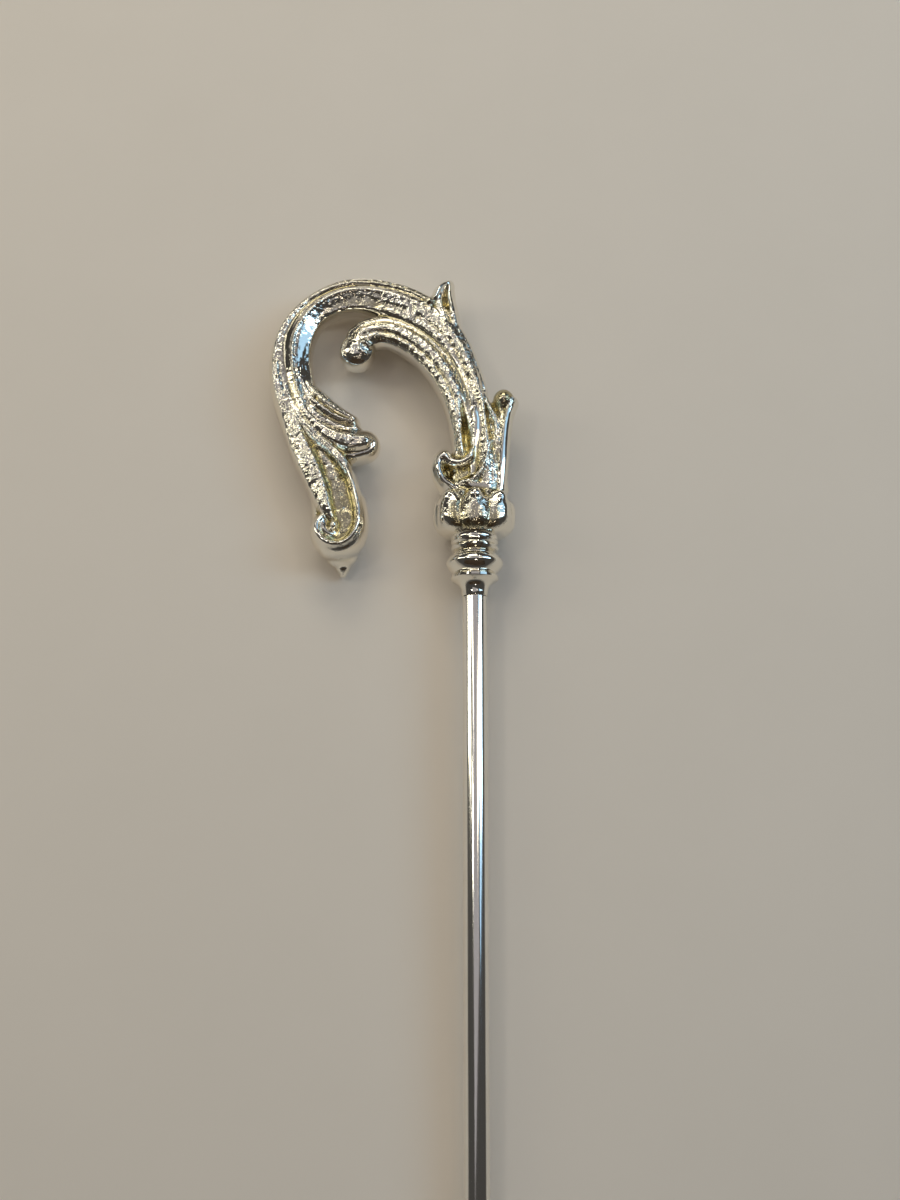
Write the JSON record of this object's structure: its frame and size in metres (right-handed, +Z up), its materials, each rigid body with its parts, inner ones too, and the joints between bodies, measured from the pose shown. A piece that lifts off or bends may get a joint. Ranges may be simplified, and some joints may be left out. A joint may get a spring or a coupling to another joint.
{
  "type": "bishop crosier",
  "caption": "Small bishop's crosier for a statue: a cast scrolled crook with leaves, lobed knop and turned collar on a plain round rod.",
  "frame": {"origin": "on the surface it lies on, under the middle of its bounding box", "axes": "+Z up out of the carved front of the crook, +Y along the staff towards the crook, +X to the right, away from the hook's opening"},
  "size_m": [0.0316, 0.2802, 0.0087],
  "materials": {
    "cast_silver": "bright silver plate on a sand-rough casting, polished on its rims and collar",
    "drawn_silver": "bright silver plate on a smooth drawn rod, with fine lines along it"
  },
  "bodies": {
    "root": {"crook_head": "cast_silver", "staff_rod": "drawn_silver"}
  },
  "joints": []
}
